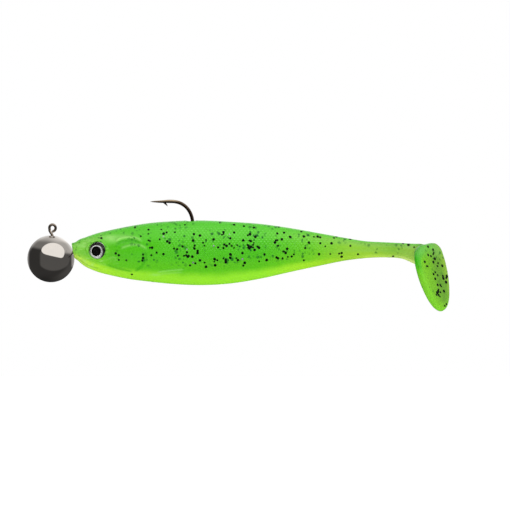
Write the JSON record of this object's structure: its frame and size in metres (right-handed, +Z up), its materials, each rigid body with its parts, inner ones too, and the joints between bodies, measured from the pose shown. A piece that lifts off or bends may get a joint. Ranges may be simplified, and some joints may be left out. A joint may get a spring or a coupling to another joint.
{
  "type": "swimbait",
  "caption": "Soft paddle-tail shad in two-tone green with black flake, 3-D eyes, threaded on a round ball jig head whose hook comes out of the back.",
  "frame": {"origin": "middle of the line tie, the wire eye on top of the ball", "axes": "+X from head to tail along the bait, +Y to the bait's right, +Z up"},
  "size_m": [0.1344, 0.0184, 0.0357],
  "materials": {
    "ball_plating": "dark nickel plate, mirror polished",
    "hook_wire": "black nickel with a bronze cast, smooth",
    "keeper_metal": "plain tin-plated metal",
    "soft_body": "soft translucent plastisol, satin, green over chartreuse with black flake",
    "soft_tail": "soft translucent plastisol, satin, yellow-green with black flake",
    "eye_foil": "mirror foil print with a black pupil",
    "eye_dome": "clear cast epoxy, gloss"
  },
  "bodies": {
    "head": {"jig_head_ball": "ball_plating", "jig_hook": "hook_wire", "bait_keeper": "keeper_metal", "body_front": "soft_body", "left_eye_foil": "eye_foil", "left_eye_dome": "eye_dome", "right_eye_foil": "eye_foil", "right_eye_dome": "eye_dome"},
    "rear_body": {"body_rear": "soft_body"},
    "tail": {"tail_stalk": "soft_tail"},
    "paddle": {"tail_paddle": "soft_tail"}
  },
  "joints": [
    {"name": "body_sway", "type": "hinge", "parent": "head", "child": "rear_body", "pos_m": [0.0583, 0, -0.0075], "axis": [0, 0, 1], "range_deg": [-20, 20], "stiffness_Nm_per_rad": 0.006},
    {"name": "tail_sway", "type": "hinge", "parent": "rear_body", "child": "tail", "pos_m": [0.0963, 0, -0.0075], "axis": [0, 0, 1], "range_deg": [-35, 35], "stiffness_Nm_per_rad": 0.001},
    {"name": "paddle_kick", "type": "hinge", "parent": "tail", "child": "paddle", "pos_m": [0.1153, 0, -0.0075], "axis": [0, 0, 1], "range_deg": [-10, 100], "stiffness_Nm_per_rad": 0.0004}
  ]
}
